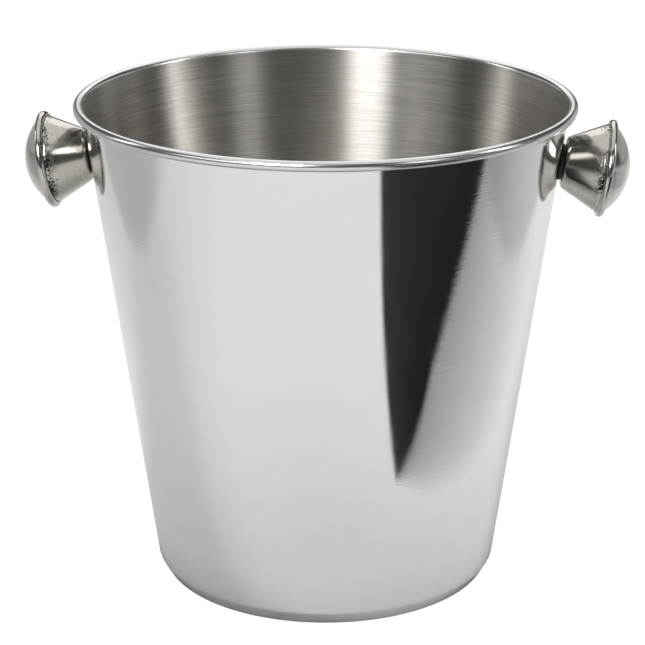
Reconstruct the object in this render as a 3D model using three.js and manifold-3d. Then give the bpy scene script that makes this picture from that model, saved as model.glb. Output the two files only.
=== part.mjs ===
// A silver champagne bucket: one drawn and rolled bucket, and two hollow knob handles that are
// screwed to it from the inside. Millimetres, +Z up. The origin is the middle of the base, on the
// table, and the knobs stand on +X and -X.
import * as THREE from "three";
import { mergeVertices } from "three/addons/utils/BufferGeometryUtils.js";
import Module from "manifold-3d";

const wasm = await Module();
wasm.setup();

// ---------------------------------------------------------------- driving dimensions

const FIT_GAP = 0.3; // kept between pieces that touch or pass through each other

const bucket = {
  height: 208, // table to the top of the rolled rim
  rimDiameter: 210, // over the rolled rim
  rollDiameter: 4.2, // the rolled edge, across its round section
  rollTurn: 295, // degrees of roll, from the wall round to the cut edge
  footDiameter: 141.4, // the corner that stands on the table
  creaseDiameter: 148, // where the wall turns in towards the foot
  creaseHeight: 5.8,
  panelDiameter: 122, // the raised middle of the base
  panelRise: 1.2,
  panelSlope: 2, // width of the step round the raised middle
  sheet: 0.7,
};

const bucketRounds = { crease: 1.5, foot: 1.2, panelTop: 0.8, panelFoot: 1.2 };

// Knob sizes are taken along and across its own axis, which is square to the wall.
const knob = {
  drop: 26, // knob axis at the wall, below the top of the rim
  reach: 29.2, // outside of the wall to the top of the domed cap
  flangeDiameter: 41, // over the rolled hem, the widest place
  hemClearance: 0.5, // between the bell's flange and the hem, on each side
  hemDepth: 1.95, // how far the hem reaches in behind the bell's flange
  domeHeight: 8.05,
  domeInset: 2.6, // from the outside of the hem in to the foot of the dome
  grooveWidth: 0.8, // the straight neck between the cone and the hem
  endDiameter: 20.7, // of the cone where it meets the flat end at the wall
  endRound: 3.5,
  neckRound: 0.8,
  sheet: 0.8,
};

const fixing = {
  gasketDiameter: 15.2, // shaped gasket between the wall and the knob
  gasketThickness: 0.6,
  plateDiameter: 12.4, // stiffening plate inside the flat end of the bell
  plateThickness: 1.5,
  nutAcrossFlats: 8,
  nutHeight: 4,
  nutChamfer: 0.5,
  screwDiameter: 5,
  screwPastNut: 1.5,
  screwTipChamfer: 0.6,
  headDiameter: 9.5,
  headHeight: 2.9,
  headRound: 2,
  recessLength: 5.2,
  recessWidth: 1.2,
  recessDepth: 1.6,
  springDiameter: 8.8,
  springThickness: 1.2,
  springSplit: 0.9,
  springSplitAngle: 20, // degrees off square
  washerDiameter: 11,
  washerThickness: 1,
  sealDiameter: 15,
  sealThickness: 1.5,
};

// Facets round each kind of turned piece, and the most that a chord may cut into an arc.
const facets = { bucket: 60, knob: 32, hardware: 24 };
const ARC_SAG = 0.08;

// ---------------------------------------------------------------- finishes

const finish = {
  polished: new THREE.MeshStandardMaterial({ color: 0xd6d5d1, roughness: 0.12, metalness: 1 }),
  knobPolish: new THREE.MeshStandardMaterial({ color: 0xc9c5bf, roughness: 0.16, metalness: 1 }),
  plainSteel: new THREE.MeshStandardMaterial({ color: 0x9c9c9a, roughness: 0.4, metalness: 1 }),
  rubber: new THREE.MeshStandardMaterial({ color: 0x232323, roughness: 0.8, metalness: 0 }),
};

// ---------------------------------------------------------------- outlines and solids

const at = (x, y) => new THREE.Vector2(x, y);
const radians = THREE.MathUtils.degToRad;
const AXIS_REACH = 1e-6; // an outline point closer than this to the axis lies on it
const PAST = 20; // how far a cutting tool runs out beyond what it cuts

// Points along an arc, close enough together that no chord strays further than ARC_SAG.
function arc(centre, radius, from, sweep) {
  const step = 2 * Math.acos(1 - Math.min(ARC_SAG / radius, 1));
  const count = Math.max(2, Math.ceil(Math.abs(sweep) / step));
  return Array.from({ length: count + 1 }, (_, i) => {
    const angle = from + (sweep * i) / count;
    return at(centre.x + radius * Math.cos(angle), centre.y + radius * Math.sin(angle));
  });
}

// An outline through the corners, with each corner that names a round eased by an arc.
function roundedOutline(corners) {
  return corners.flatMap(({ point, round }, i) => {
    if (!round) return [point];
    const back = corners[i - 1].point.clone().sub(point).normalize();
    const on = corners[i + 1].point.clone().sub(point).normalize();
    const half = back.angleTo(on) / 2;
    const middle = back.clone().add(on).normalize();
    const centre = point.clone().addScaledVector(middle, round / Math.sin(half));
    const start = point.clone().addScaledVector(back, round / Math.tan(half)).sub(centre);
    const turn = Math.sign(start.cross(middle)) * (2 * half - Math.PI);
    return arc(centre, round, start.angle(), turn);
  });
}

// The outline moved to its left by the sheet's thickness, with mitred corners.
function offsetOutline(points, distance) {
  const normals = points.slice(1).map((p, i) => {
    const run = p.clone().sub(points[i]).normalize();
    return at(-run.y, run.x);
  });
  return points.map((p, i) => {
    const before = normals[Math.max(i - 1, 0)];
    const after = normals[Math.min(i, normals.length - 1)];
    const mitre = before.clone().add(after);
    const moved = p.clone().addScaledVector(mitre, (2 * distance) / mitre.lengthSq());
    return onAxis(p) ? at(0, moved.y) : moved;
  });
}

function onAxis(point) {
  return Math.abs(point.x) < AXIS_REACH;
}

// The closed section of a piece of sheet, from its outer skin. The metal is to the skin's left.
function sheetSection(skin, thickness) {
  const inner = offsetOutline(skin, thickness).reverse();
  if (onAxis(skin.at(-1))) return [...inner, ...skin];
  if (onAxis(skin[0])) return [...skin, ...inner];
  return [...skin, ...inner, skin[0]];
}

// A turned solid about Z. The outline holds radius and height, and runs anticlockwise.
function turned(outline, count) {
  const exact = outline.map((p) => (onAxis(p) ? at(0, p.y) : p));
  return new THREE.LatheGeometry(exact, count).rotateX(Math.PI / 2);
}

function ring(inner, outer, bottom, top, count) {
  const first = at(inner, bottom);
  return turned([first, at(outer, bottom), at(outer, top), at(inner, top), first], count);
}

function rod(radius, bottom, top, count) {
  return turned([at(0, bottom), at(radius, bottom), at(radius, top), at(0, top)], count);
}

function solidOf(geometry) {
  const bare = geometry.clone().deleteAttribute("normal").deleteAttribute("uv");
  const merged = mergeVertices(bare);
  const vertProperties = merged.getAttribute("position").array;
  const triVerts = Uint32Array.from(merged.index.array);
  return new wasm.Manifold(new wasm.Mesh({ numProp: 3, vertProperties, triVerts }));
}

function geometryOf(solid) {
  const { vertProperties, triVerts } = solid.getMesh();
  const geometry = new THREE.BufferGeometry();
  geometry.setAttribute("position", new THREE.BufferAttribute(vertProperties, 3));
  return geometry.setIndex(new THREE.BufferAttribute(triVerts, 1));
}

function cut(geometry, ...tools) {
  const kept = tools.reduce((rest, tool) => rest.subtract(solidOf(tool)), solidOf(geometry));
  return geometryOf(kept);
}

function common(geometry, other) {
  return geometryOf(solidOf(geometry).intersect(solidOf(other)));
}

// ---------------------------------------------------------------- the wall, which all else follows

const roll = {
  radius: bucket.rollDiameter / 2,
  centre: at((bucket.rimDiameter - bucket.rollDiameter) / 2, bucket.height - bucket.rollDiameter / 2),
};
roll.skinRadius = roll.radius - bucket.sheet; // the wall's outer skin becomes the inside of the roll

const crease = at(bucket.creaseDiameter / 2, bucket.creaseHeight);
const toRoll = roll.centre.clone().sub(crease);
const wallLean = Math.atan2(toRoll.x, toRoll.y) - Math.asin(roll.skinRadius / toRoll.length());

// Radius of the wall's outer skin at a height, along the straight cone.
function wallRadius(height) {
  return crease.x + (height - crease.y) * Math.tan(wallLean);
}

const knobHeight = bucket.height - knob.drop;
const screwRadius = fixing.screwDiameter / 2;
const boreRadius = screwRadius + FIT_GAP;

// The frame of the knob on +X: its Z runs out of the wall, square to it.
const knobFrame = new THREE.Group();
knobFrame.position.set(wallRadius(knobHeight), 0, knobHeight);
knobFrame.rotation.y = Math.PI / 2 + wallLean;
knobFrame.updateMatrixWorld(true);

// The straight cone of the wall as a solid, moved square to the wall, in the knob's frame.
function wallCone(moved) {
  const shift = moved / Math.cos(wallLean);
  const cone = turned(
    [
      at(0, crease.y),
      at(crease.x + shift, crease.y),
      at(wallRadius(bucket.height) + shift, bucket.height),
      at(0, bucket.height),
    ],
    facets.bucket,
  );
  return cone.applyMatrix4(knobFrame.matrixWorld.clone().invert());
}

// ---------------------------------------------------------------- bucket

// Base, wall and rolled rim are one sheet, with a screw hole square to the wall for each knob.
function bucketBody() {
  const panelRadius = bucket.panelDiameter / 2;
  const skin = [
    ...roundedOutline([
      { point: at(0, bucket.panelRise) },
      { point: at(panelRadius, bucket.panelRise), round: bucketRounds.panelTop },
      { point: at(panelRadius + bucket.panelSlope, 0), round: bucketRounds.panelFoot },
      { point: at(bucket.footDiameter / 2, 0), round: bucketRounds.foot },
      { point: crease, round: bucketRounds.crease },
      { point: at(wallRadius(bucket.height), bucket.height) },
    ]).slice(0, -1),
    ...arc(roll.centre, roll.skinRadius, Math.PI - wallLean, -radians(bucket.rollTurn)),
  ];
  const body = turned(sheetSection(skin, bucket.sheet), facets.bucket);
  const drill = rod(boreRadius, -PAST, PAST, facets.hardware).applyMatrix4(knobFrame.matrixWorld);
  return cut(body, drill, drill.clone().rotateZ(Math.PI));
}

// ---------------------------------------------------------------- knob shells

const flangeRadius = knob.flangeDiameter / 2;
const bellEnd = FIT_GAP + fixing.gasketThickness + FIT_GAP;

// The hem is a half round, wide enough to close round the bell's flange.
const hem = { hollow: knob.sheet / 2 + knob.hemClearance };
hem.radius = hem.hollow + knob.sheet;
hem.front = knob.reach - knob.domeHeight;
hem.middle = hem.front - hem.radius;
hem.back = hem.middle - hem.radius;
hem.centreRadius = flangeRadius - hem.radius;

// A hollow cone with a bored flat end at the wall and a narrow flange at the wide end.
function knobBell() {
  const neckRadius = flangeRadius - knob.hemDepth - FIT_GAP;
  const flangeBack = hem.middle - knob.sheet / 2;
  const flangeReach = Math.sqrt((hem.hollow - FIT_GAP) ** 2 - (knob.sheet / 2) ** 2);
  const skin = roundedOutline([
    { point: at(boreRadius, bellEnd) },
    { point: at(knob.endDiameter / 2, bellEnd), round: knob.endRound },
    { point: at(neckRadius, hem.back - knob.grooveWidth), round: knob.neckRound },
    { point: at(neckRadius, flangeBack) },
    { point: at(hem.centreRadius + flangeReach, flangeBack) },
  ]);
  return turned(sheetSection(skin, knob.sheet), facets.knob);
}

// A dome whose edge runs out flat, and is rolled round the bell's flange as a hem.
function knobCap() {
  const domeRadius = flangeRadius - knob.domeInset;
  const sphereRadius = (domeRadius ** 2 + knob.domeHeight ** 2) / (2 * knob.domeHeight);
  const sphereCentre = at(0, knob.reach - sphereRadius);
  const footAngle = Math.atan2(hem.front - sphereCentre.y, domeRadius);
  const skin = [
    at(flangeRadius - knob.hemDepth, hem.back),
    ...arc(at(hem.centreRadius, hem.middle), hem.radius, -Math.PI / 2, Math.PI),
    ...arc(sphereCentre, sphereRadius, footAngle, Math.PI / 2 - footAngle),
  ];
  return turned(sheetSection(skin, knob.sheet), facets.knob);
}

// ---------------------------------------------------------------- knob fixing

// Levels along the knob's axis. Zero is the outside of the wall.
const plateBottom = bellEnd + knob.sheet + FIT_GAP;
const nutBottom = plateBottom + fixing.plateThickness + FIT_GAP;
const nutTop = nutBottom + fixing.nutHeight;
const sealTop = -(bucket.sheet + FIT_GAP);
const sealBottom = sealTop - fixing.sealThickness;
const washerTop = sealBottom - FIT_GAP;
const washerBottom = washerTop - fixing.washerThickness;
const springTop = washerBottom - FIT_GAP;
const springBottom = springTop - fixing.springThickness;
const headTop = springBottom - FIT_GAP;

// A thin gasket, flat under the bell and hollowed to sit round the wall.
function saddleGasket() {
  const top = FIT_GAP + fixing.gasketThickness;
  const radius = fixing.gasketDiameter / 2;
  return cut(ring(boreRadius, radius, -radius, top, facets.hardware), wallCone(FIT_GAP));
}

function backingPlate() {
  const top = plateBottom + fixing.plateThickness;
  return ring(boreRadius, fixing.plateDiameter / 2, plateBottom, top, facets.hardware);
}

// A hexagon with its corners turned off at both ends.
function captiveNut() {
  const cornerRadius = fixing.nutAcrossFlats / 2 / Math.cos(Math.PI / 6);
  const hexagon = new THREE.Shape(
    Array.from({ length: 6 }, (_, i) => {
      const angle = (i * Math.PI) / 3;
      return at(cornerRadius * Math.cos(angle), cornerRadius * Math.sin(angle));
    }),
  );
  const block = new THREE.ExtrudeGeometry(hexagon, { depth: fixing.nutHeight, bevelEnabled: false });
  block.translate(0, 0, nutBottom);
  const endRadius = cornerRadius - fixing.nutChamfer;
  const turnedEnds = turned(
    [
      at(0, nutBottom),
      at(endRadius, nutBottom),
      at(cornerRadius, nutBottom + fixing.nutChamfer),
      at(cornerRadius, nutTop - fixing.nutChamfer),
      at(endRadius, nutTop),
      at(0, nutTop),
    ],
    facets.hardware,
  );
  const bore = rod(boreRadius, nutBottom - PAST, nutTop + PAST, facets.hardware);
  return cut(common(block, turnedEnds), bore);
}

// A pan head screw, with its head inside the bucket and a cross recess in the head.
function screw() {
  const headRadius = fixing.headDiameter / 2;
  const headFace = headTop - fixing.headHeight;
  const tip = nutTop + fixing.screwPastNut;
  const blank = turned(
    roundedOutline([
      { point: at(0, headFace) },
      { point: at(headRadius, headFace), round: fixing.headRound },
      { point: at(headRadius, headTop) },
      { point: at(screwRadius, headTop) },
      { point: at(screwRadius, tip - fixing.screwTipChamfer) },
      { point: at(screwRadius - fixing.screwTipChamfer, tip) },
      { point: at(0, tip) },
    ]),
    facets.hardware,
  );
  const slot = new THREE.BoxGeometry(
    fixing.recessLength,
    fixing.recessWidth,
    2 * fixing.recessDepth,
  ).translate(0, 0, headFace);
  return cut(blank, slot, slot.clone().rotateZ(Math.PI / 2));
}

// A spring ring, split by a slanted cut.
function springWasher() {
  const radius = fixing.springDiameter / 2;
  const split = new THREE.BoxGeometry(fixing.springSplit, radius, PAST)
    .rotateY(radians(fixing.springSplitAngle))
    .translate(0, (boreRadius + radius) / 2, (springTop + springBottom) / 2);
  return cut(ring(boreRadius, radius, springBottom, springTop, facets.hardware), split);
}

function flatWasher() {
  const radius = fixing.washerDiameter / 2;
  return ring(boreRadius, radius, washerBottom, washerTop, facets.hardware);
}

// A rubber washer, pressed to the inside of the wall.
function sealWasher() {
  const radius = fixing.sealDiameter / 2;
  const blank = ring(boreRadius, radius, sealBottom, 0, facets.hardware);
  return common(blank, wallCone(sealTop));
}

// ---------------------------------------------------------------- the assembly

function piece(name, geometry, material) {
  const mesh = new THREE.Mesh(geometry, material);
  mesh.name = name;
  return mesh;
}

const knobPieces = [
  ["bell", knobBell(), finish.knobPolish],
  ["cap", knobCap(), finish.knobPolish],
  ["saddle_gasket", saddleGasket(), finish.rubber],
  ["backing_plate", backingPlate(), finish.plainSteel],
  ["captive_nut", captiveNut(), finish.plainSteel],
  ["screw", screw(), finish.plainSteel],
  ["spring_washer", springWasher(), finish.plainSteel],
  ["flat_washer", flatWasher(), finish.plainSteel],
  ["seal_washer", sealWasher(), finish.rubber],
];

// One knob on its side of the bucket, turned about the bucket's axis.
function knobAssembly(side, turn) {
  const onWall = new THREE.Group();
  onWall.position.copy(knobFrame.position);
  onWall.rotation.copy(knobFrame.rotation);
  for (const [name, geometry, material] of knobPieces) {
    onWall.add(piece(`${side}_knob_${name}`, geometry, material));
  }
  const turnedToSide = new THREE.Group();
  turnedToSide.rotation.z = turn;
  turnedToSide.add(onWall);
  return turnedToSide;
}

const champagneBucket = new THREE.Group();
champagneBucket.add(piece("bucket_body", bucketBody(), finish.polished));
champagneBucket.add(knobAssembly("right", 0));
champagneBucket.add(knobAssembly("left", Math.PI));

export default champagneBucket;
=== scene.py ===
"""A polished steel champagne bucket with two hollow knob handles, on a pale studio floor.

Sizes are in millimetres in each class's fields, and meshes are in metres. The frame gives every
place: the bucket's box, and the axis of each knob from two pieces that are threaded on it.
"""

import logging
import math
from dataclasses import dataclass
from enum import Enum

import bmesh
import bpy
from mathutils import Matrix, Vector


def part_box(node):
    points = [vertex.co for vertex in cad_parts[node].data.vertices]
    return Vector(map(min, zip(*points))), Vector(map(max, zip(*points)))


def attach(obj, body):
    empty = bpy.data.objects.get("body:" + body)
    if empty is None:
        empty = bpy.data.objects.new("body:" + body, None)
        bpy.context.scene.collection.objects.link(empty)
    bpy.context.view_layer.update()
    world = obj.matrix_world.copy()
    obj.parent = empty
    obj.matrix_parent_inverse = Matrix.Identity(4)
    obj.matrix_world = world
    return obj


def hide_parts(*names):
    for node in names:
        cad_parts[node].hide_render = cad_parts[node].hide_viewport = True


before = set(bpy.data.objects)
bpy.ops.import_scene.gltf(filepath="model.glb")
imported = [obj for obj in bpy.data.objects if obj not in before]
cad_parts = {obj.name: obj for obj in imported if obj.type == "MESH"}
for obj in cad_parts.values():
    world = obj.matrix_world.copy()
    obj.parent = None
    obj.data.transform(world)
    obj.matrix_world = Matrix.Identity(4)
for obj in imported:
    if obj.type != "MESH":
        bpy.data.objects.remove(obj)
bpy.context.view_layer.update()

log = logging.getLogger("champagne_bucket")

Mesh = bmesh.types.BMesh
Material = bpy.types.Material
Node = bpy.types.Node
Socket = bpy.types.NodeSocket
Feeds = dict[str | int, object]  # output sockets or plain values, by an input's name or number
Place = tuple[float, float]

MM = 0.001
TURNED = "turned"  # vertex attribute: where a point lies on the lathe that turned its piece
MERGE = 1e-7  # metres, under which two points are one
SHARP = math.radians(32)  # edges that turn more than this are shaded as sharp
SUPPORT = 0.4  # mm from a round to the loop that keeps its shading off the flat beside it
ROOM = 3 * SUPPORT  # mm that a straight stretch needs to take such a loop


# ---------------------------------------------------------------- drawing and turning


@dataclass(frozen=True)
class Corner:
    """A corner of an outline: radius and height in millimetres, and the round that eases it."""

    radius: float
    height: float
    round: float = 0.0
    steps: int = 6

    @property
    def place(self) -> Vector:
        """The corner as a point of the outline's plane."""
        return Vector((self.radius, self.height))


class Outline:
    """A line of edges drawn on the X-Z plane of a mesh. Its points are radii and heights in mm."""

    def __init__(self, mesh: Mesh, start: Vector) -> None:
        """Puts down the first point."""
        self.mesh = mesh
        self.tip = bmesh.ops.create_vert(mesh, co=(start.x * MM, 0.0, start.y * MM))["vert"][0]

    @property
    def place(self) -> Vector:
        """The line's end."""
        return Vector((self.tip.co.x / MM, self.tip.co.z / MM))

    def line_to(self, end: Vector, steps: int = 1) -> None:
        """Draws a straight stretch.

        Args:
            end: Its end.
            steps: Edges that it is divided into.
        """
        start = self.place
        for step in range(1, steps + 1):
            self.tip = bmesh.ops.extrude_vert_indiv(self.mesh, verts=[self.tip])["verts"][0]
            spot = start.lerp(end, step / steps)
            self.tip.co = (spot.x * MM, 0.0, spot.y * MM)

    def arc(self, centre: Vector, sweep: float, steps: int) -> None:
        """Draws a round stretch from the line's end.

        Args:
            centre: The arc's centre.
            sweep: Angle in radians, anticlockwise with the radius to the right.
            steps: Edges that it is divided into.
        """
        made = bmesh.ops.spin(
            self.mesh,
            geom=[self.tip],
            cent=(centre.x * MM, 0.0, centre.y * MM),
            axis=(0.0, -1.0, 0.0),
            angle=sweep,
            steps=steps,
        )
        self.tip = next(item for item in made["geom_last"] if isinstance(item, bmesh.types.BMVert))

    def follow(self, corners: list[Corner]) -> None:
        """Draws through corners, easing those that have a round.

        Args:
            corners: The corners in order. The first is where the line is, and the last is sharp.
        """
        for before, corner, after in zip(corners, corners[1:], corners[2:]):
            if corner.round:
                self._ease(before.place, corner, after.place)
            else:
                self.line_to(corner.place)
        self.line_to(corners[-1].place)

    def _ease(self, before: Vector, corner: Corner, after: Vector) -> None:
        """Draws up to a corner and round it.

        Args:
            before: The corner before this one.
            corner: The corner to ease.
            after: The corner after it.
        """
        back = (before - corner.place).normalized()
        on = (after - corner.place).normalized()
        half = back.angle(on) / 2
        run = corner.round / math.tan(half)
        start = corner.place + back * run
        centre = corner.place + (back + on).normalized() * (corner.round / math.sin(half))
        if (start - self.place).length > ROOM:
            self.line_to(start + back * SUPPORT)
        self.line_to(start)
        leans_left = back.x * on.y - back.y * on.x < 0
        sweep = math.pi - 2 * half
        self.arc(centre, sweep if leans_left else -sweep, corner.steps)
        if (after - corner.place).length - run > ROOM:
            self.line_to(self.place + on * SUPPORT)


class Lathe:
    """Turns an outline about Z, and finishes the mesh that comes of it."""

    def __init__(self) -> None:
        """Starts an empty mesh."""
        self.mesh = bmesh.new()

    def draw(self, corners: list[Corner]) -> Outline:
        """Draws an outline of straight runs and eased corners.

        Args:
            corners: The corners in order.

        Returns:
            The outline, at its last corner.
        """
        outline = Outline(self.mesh, corners[0].place)
        outline.follow(corners)
        return outline

    def turn(self, steps: int, angle: float = 2 * math.pi) -> None:
        """Turns everything drawn so far about Z.

        Args:
            steps: Faces round the turn.
            angle: How far it is turned, in radians.
        """
        bmesh.ops.remove_doubles(self.mesh, verts=self.mesh.verts[:], dist=MERGE)
        bmesh.ops.spin(
            self.mesh,
            geom=self.mesh.verts[:] + self.mesh.edges[:] + self.mesh.faces[:],
            cent=(0.0, 0.0, 0.0),
            axis=(0.0, 0.0, 1.0),
            angle=angle,
            steps=steps,
            use_merge=math.isclose(angle, 2 * math.pi),
        )
        bmesh.ops.remove_doubles(self.mesh, verts=self.mesh.verts[:], dist=MERGE)
        bmesh.ops.recalc_face_normals(self.mesh, faces=self.mesh.faces[:])

    def face_outwards(self, outwards: Vector, spot: Vector) -> None:
        """Turns an open skin's faces over if the one nearest to a spot looks the wrong way.

        Args:
            outwards: The way that face has to look.
            spot: The spot, in metres.
        """
        nearest = min(self.mesh.faces, key=lambda f: (f.calc_center_median() - spot).length)
        if nearest.normal.dot(outwards) < 0:
            bmesh.ops.reverse_faces(self.mesh, faces=self.mesh.faces[:])

    def thicken(self, sheet: float) -> None:
        """Makes the skin so many millimetres thick, on the side that its faces look away from."""
        bmesh.ops.solidify(self.mesh, geom=self.mesh.faces[:], thickness=sheet * MM)

    def remember(self) -> None:
        """Writes each point's place on the lathe to the mesh, for the materials to read."""
        layer = self.mesh.verts.layers.float_vector.new(TURNED)
        for vert in self.mesh.verts:
            vert[layer] = vert.co

    def place(self, matrix: Matrix) -> None:
        """Moves the mesh from the lathe to where it belongs."""
        bmesh.ops.transform(self.mesh, matrix=matrix, verts=self.mesh.verts[:])


def add_object(name: str, mesh: Mesh, materials: list[Material]) -> bpy.types.Object:
    """Makes an object of a mesh, and puts it in the scene.

    Args:
        name: Its name.
        mesh: The finished mesh, which is used up.
        materials: Its materials, by the index that its faces hold.

    Returns:
        The object.
    """
    data = bpy.data.meshes.new(name)
    mesh.to_mesh(data)
    mesh.free()
    for material in materials:
        data.materials.append(material)
    made = bpy.data.objects.new(name, data)
    bpy.context.scene.collection.objects.link(made)
    return made


def finish_piece(mesh: Mesh, name: str, materials: list[Material], stands_for: str) -> None:
    """Makes a piece of a mesh, smooth but for its sharp edges, and puts it in the CAD node's place.

    Args:
        mesh: The finished mesh, which is used up.
        name: The piece's name.
        materials: Its materials, by the index that its faces hold.
        stands_for: The CAD node that it replaces.
    """
    for face in mesh.faces:
        face.smooth = True
    for edge in mesh.edges:
        edge.smooth = not (edge.is_manifold and edge.calc_face_angle() > SHARP)
    piece = add_object(name, mesh, materials)
    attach(piece, "root")
    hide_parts(stands_for)
    triangles = sum(len(polygon.vertices) - 2 for polygon in piece.data.polygons)
    log.info("%s: %d triangles", name, triangles)


# ---------------------------------------------------------------- shader groups


class Bench:
    """A node tree under construction. What feeds an input is an output socket or a plain value."""

    def __init__(self, tree: bpy.types.NodeTree) -> None:
        """Takes up the tree that nodes are added to."""
        self.tree = tree

    def add(self, kind: str, feeds: Feeds | None = None, **settings: object) -> Node:
        """Adds a node.

        Args:
            kind: The node's type, without its ShaderNode prefix.
            feeds: What its inputs are fed.
            **settings: Properties of the node to set.

        Returns:
            The node.
        """
        node = self.tree.nodes.new("ShaderNode" + kind)
        for key, value in settings.items():
            setattr(node, key, value)
        self.feed(node, feeds or {})
        return node

    def feed(self, node: Node, feeds: Feeds) -> None:
        """Links a node's inputs to other nodes' outputs, or sets them to plain values.

        Args:
            node: The node.
            feeds: What its inputs are fed.
        """
        for key, value in feeds.items():
            if isinstance(value, Socket):
                self.tree.links.new(value, node.inputs[key])
            else:
                node.inputs[key].default_value = value

    def maths(self, operation: str, *values: object) -> Socket:
        """The result of a Math node."""
        return self.add("Math", dict(enumerate(values)), operation=operation).outputs[0]

    def spread(self, value: Socket, low: float, high: float,
               to_low: float = 0.0, to_high: float = 1.0) -> Socket:
        """Maps a value's stretch from low to high smoothly on to the one from to_low to to_high."""
        feeds = dict(enumerate((value, low, high, to_low, to_high)))
        return self.add("MapRange", feeds, interpolation_type="SMOOTHSTEP").outputs["Result"]

    def noise(self, vector: Socket, scale: object, detail: float = 2.0, **more: float) -> Socket:
        """A noise pattern, about 0.5 on average."""
        feeds = {"Vector": vector, "Scale": scale, "Detail": detail, **more}
        return self.add("TexNoise", feeds).outputs["Fac"]

    def mixed(self, share: object, first: object, second: object) -> Socket:
        """A mix of two colours, with that share of the second."""
        return self.add("Mix", {0: share, 6: first, 7: second}, data_type="RGBA").outputs[2]

    def bump(self, height: Socket, strength: float, distance: float, **under: Socket) -> Socket:
        """The normal of a bump whose unit is in metres, over another's Normal if that is given."""
        feeds = {"Height": height, "Strength": strength, "Distance": distance, **under}
        return self.add("Bump", feeds).outputs["Normal"]

    def effect(self, tree: bpy.types.NodeTree, *values: object) -> list[Socket]:
        """The outputs of a group whose inputs are fed in their order."""
        return self.add("Group", dict(enumerate(values)), node_tree=tree).outputs[:]


class Effect(Enum):
    """The effects that more than one finish uses, each a node group built once."""

    TURNED_LINES = "turned_lines"
    HANDLING_MARKS = "handling_marks"


class Effects:
    """Builds the shared node groups, and hands them out."""

    def __init__(self) -> None:
        """Builds every group."""
        self.groups = {
            Effect.TURNED_LINES: self._turned_lines(),
            Effect.HANDLING_MARKS: self._handling_marks(),
        }

    def __getitem__(self, effect: Effect) -> bpy.types.NodeTree:
        """The group of an effect."""
        return self.groups[effect]

    @staticmethod
    def _new(effect: Effect, inputs: list[str], outputs: list[str]) -> tuple[Bench, list[Socket], Node]:
        """Starts a group that takes a vector and two values, and gives two values.

        Args:
            effect: Which effect it is.
            inputs: Names of the values that it takes.
            outputs: Names of the values that it gives.

        Returns:
            The bench, what the group takes in order, and its output node.
        """
        tree = bpy.data.node_groups.new(effect.value, "ShaderNodeTree")
        tree.interface.new_socket("Vector", in_out="INPUT", socket_type="NodeSocketVector")
        for way, names in (("INPUT", inputs), ("OUTPUT", outputs)):
            for name in names:
                tree.interface.new_socket(name, in_out=way, socket_type="NodeSocketFloat")
        entry = tree.nodes.new("NodeGroupInput")
        return Bench(tree), entry.outputs[: len(inputs) + 1], tree.nodes.new("NodeGroupOutput")

    def _turned_lines(self) -> bpy.types.NodeTree:
        """Fine lines that run round a turned piece, as brushing and polishing wheels leave them.

        Returns:
            The group. Pitch is lines to the metre, and Sweep how often a line changes in a turn.
        """
        bench, (vector, pitch, sweep), leave = self._new(
            Effect.TURNED_LINES, ["Pitch", "Sweep"], ["Lines", "Bands"]
        )
        x, y, z = bench.add("SeparateXYZ", {0: vector}).outputs
        squares = bench.maths("ADD", bench.maths("MULTIPLY", x, x), bench.maths("MULTIPLY", y, y))
        radius = bench.maths("MAXIMUM", bench.maths("SQRT", squares), MM)
        turn = bench.maths("DIVIDE", sweep, radius)
        round_x, round_y = (bench.maths("MULTIPLY", side, turn) for side in (x, y))
        along = bench.maths("MULTIPLY", bench.maths("ADD", z, radius), pitch)
        place = bench.add("CombineXYZ", {0: round_x, 1: round_y, 2: along}).outputs[0]
        fine = bench.noise(place, 1.0, 3.0, Roughness=0.65)
        bench.feed(leave, {"Lines": fine, "Bands": bench.noise(place, 0.13)})
        return bench.tree

    def _handling_marks(self) -> bpy.types.NodeTree:
        """Faint smudges, and hairline scratches that cross each other.

        Returns:
            The group. Smudge Scale and Scratch Scale are to the metre.
        """
        bench, (vector, smudge_scale, scratch_scale), leave = self._new(
            Effect.HANDLING_MARKS, ["Smudge Scale", "Scratch Scale"], ["Smudges", "Scratches"]
        )
        clouds = bench.noise(vector, smudge_scale, 4.0, Distortion=0.6)
        hairs = []
        for turn in ((0.4, 0.2, 0.9), (1.3, -0.5, -0.6)):
            laid = bench.add("Mapping", {"Vector": vector, "Rotation": turn, "Scale": (1.0, 34.0, 34.0)})
            hairs.append(bench.spread(bench.noise(laid.outputs[0], scratch_scale, 1.0), 0.70, 0.78))
        smudges = bench.spread(clouds, 0.42, 0.72)
        bench.feed(leave, {"Smudges": smudges, "Scratches": bench.maths("MAXIMUM", *hairs)})
        return bench.tree


# ---------------------------------------------------------------- finishes


def new_material(name: str) -> tuple[Material, Bench, Node]:
    """Starts a material with one Principled shader.

    Args:
        name: The material's name.

    Returns:
        The material, its bench, and its shader.
    """
    material = bpy.data.materials.new(name)
    material.use_nodes = True
    shader = next(n for n in material.node_tree.nodes if n.type == "BSDF_PRINCIPLED")
    return material, Bench(material.node_tree), shader


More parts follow.
